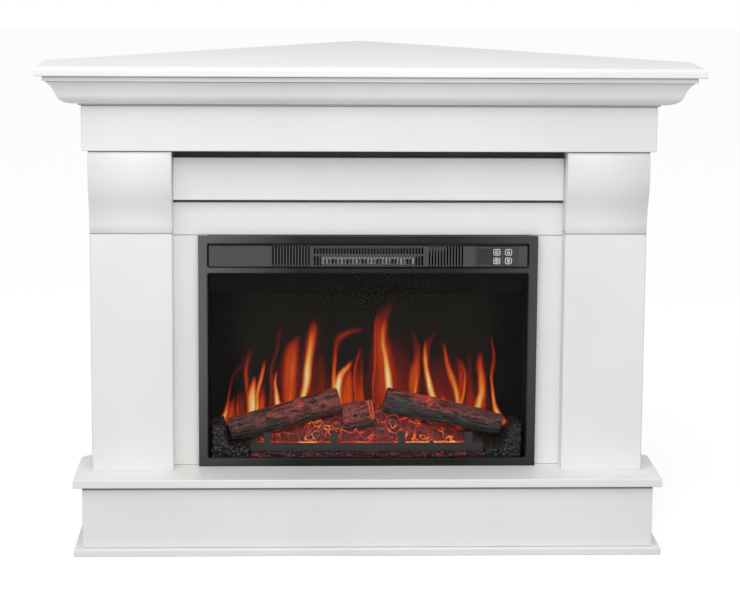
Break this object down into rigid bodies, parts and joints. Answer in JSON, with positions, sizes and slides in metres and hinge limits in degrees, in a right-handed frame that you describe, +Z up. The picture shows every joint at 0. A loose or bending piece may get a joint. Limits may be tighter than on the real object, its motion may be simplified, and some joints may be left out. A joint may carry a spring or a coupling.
{
  "type": "corner electric fireplace",
  "caption": "White corner mantel with crown moulding, pilasters and hearth slab, holding an electric log-effect fire with a fan heater and push keys.",
  "frame": {"origin": "on the floor, midway across the width and midway between the front of the top board and the rear corner point", "axes": "+Z up, -Y towards the viewer (the front of the fireplace), +X to the viewer's right; the two walls run from the rear corner at 45 degrees"},
  "size_m": [1.103, 0.6922, 0.832],
  "materials": {
    "white_paint": "satin white lacquer on MDF",
    "raw_board": "unpainted fibreboard",
    "black_steel": "fine black powder coat",
    "plain_steel": "zinc-plated sheet",
    "black_plastic": "moulded satin black plastic",
    "clear_glass": "clear toughened glass",
    "display_lens": "smoked lens",
    "flame_film": "dark diffusing screen lit from behind",
    "resin_bark": "cast resin logs with painted bark",
    "resin_ember": "translucent cast resin ember bed lit from below",
    "resin_coal": "cast resin charcoal, dark and slightly glossy",
    "bare_aluminium": "bright rolled aluminium",
    "circuit_laminate": "green circuit laminate"
  },
  "bodies": {
    "root": {"base_board": "white_paint", "hearth_slab": "white_paint", "top_board": "white_paint", "plinth_front": "white_paint", "plinth_left": "white_paint", "plinth_right": "white_paint", "plinth_spine": "raw_board", "pilaster_left": "white_paint", "pilaster_right": "white_paint", "capital_left": "white_paint", "capital_right": "white_paint", "stile_left": "white_paint", "stile_right": "white_paint", "side_panel_left": "white_paint", "side_panel_right": "white_paint", "lower_rail": "white_paint", "frieze_rail": "white_paint", "rear_post": "raw_board", "back_panel_left": "raw_board", "back_panel_right": "raw_board", "fascia_front": "white_paint", "fascia_left": "white_paint", "fascia_right": "white_paint", "crown_front": "white_paint", "crown_left": "white_paint", "crown_right": "white_paint", "trim_frame": "black_steel", "front_glass": "clear_glass", "blank_cover": "black_plastic", "rib_grille_left": "black_plastic", "outlet_grille": "black_plastic", "rib_grille_right": "black_plastic", "control_panel": "black_plastic", "display_window": "display_lens", "control_board": "circuit_laminate", "end_cap": "black_plastic", "firebox_case": "black_steel", "case_divider": "black_steel", "header_baffle": "black_steel", "flame_screen": "flame_film", "log_left": "resin_bark", "log_right": "resin_bark", "log_stump": "resin_bark", "ember_bed": "resin_ember", "ember_strip": "resin_ember", "coal_left": "resin_coal", "coal_right": "resin_coal", "grate": "black_steel", "heater_duct": "plain_steel", "heating_element": "bare_aluminium", "blower_motor": "plain_steel", "spindle_motor": "plain_steel", "led_board": "circuit_laminate", "cable_gland": "black_plastic"},
    "power_key": {"key_power": "black_plastic"},
    "flame_key": {"key_flame": "black_plastic"},
    "timer_key": {"key_timer": "black_plastic"},
    "heat_key": {"key_heat": "black_plastic"},
    "blower": {"blower_rotor": "plain_steel"},
    "spindle": {"flame_spindle": "bare_aluminium"}
  },
  "joints": [
    {"name": "power_press", "type": "slide", "parent": "root", "child": "power_key", "axis": [0, 1, 0], "range_m": [0, 0.001], "stiffness_N_per_m": 250, "springref_m": -0.001},
    {"name": "flame_press", "type": "slide", "parent": "root", "child": "flame_key", "axis": [0, 1, 0], "range_m": [0, 0.001], "stiffness_N_per_m": 250, "springref_m": -0.001},
    {"name": "timer_press", "type": "slide", "parent": "root", "child": "timer_key", "axis": [0, 1, 0], "range_m": [0, 0.001], "stiffness_N_per_m": 250, "springref_m": -0.001},
    {"name": "heat_press", "type": "slide", "parent": "root", "child": "heat_key", "axis": [0, 1, 0], "range_m": [0, 0.001], "stiffness_N_per_m": 250, "springref_m": -0.001},
    {"name": "blower_spin", "type": "hinge", "parent": "root", "child": "blower", "pos_m": [0, -0.1236, 0.5004], "axis": [1, 0, 0], "continuous": true},
    {"name": "spindle_turn", "type": "hinge", "parent": "root", "child": "spindle", "pos_m": [0, -0.0856, 0.1972], "axis": [1, 0, 0], "continuous": true}
  ]
}
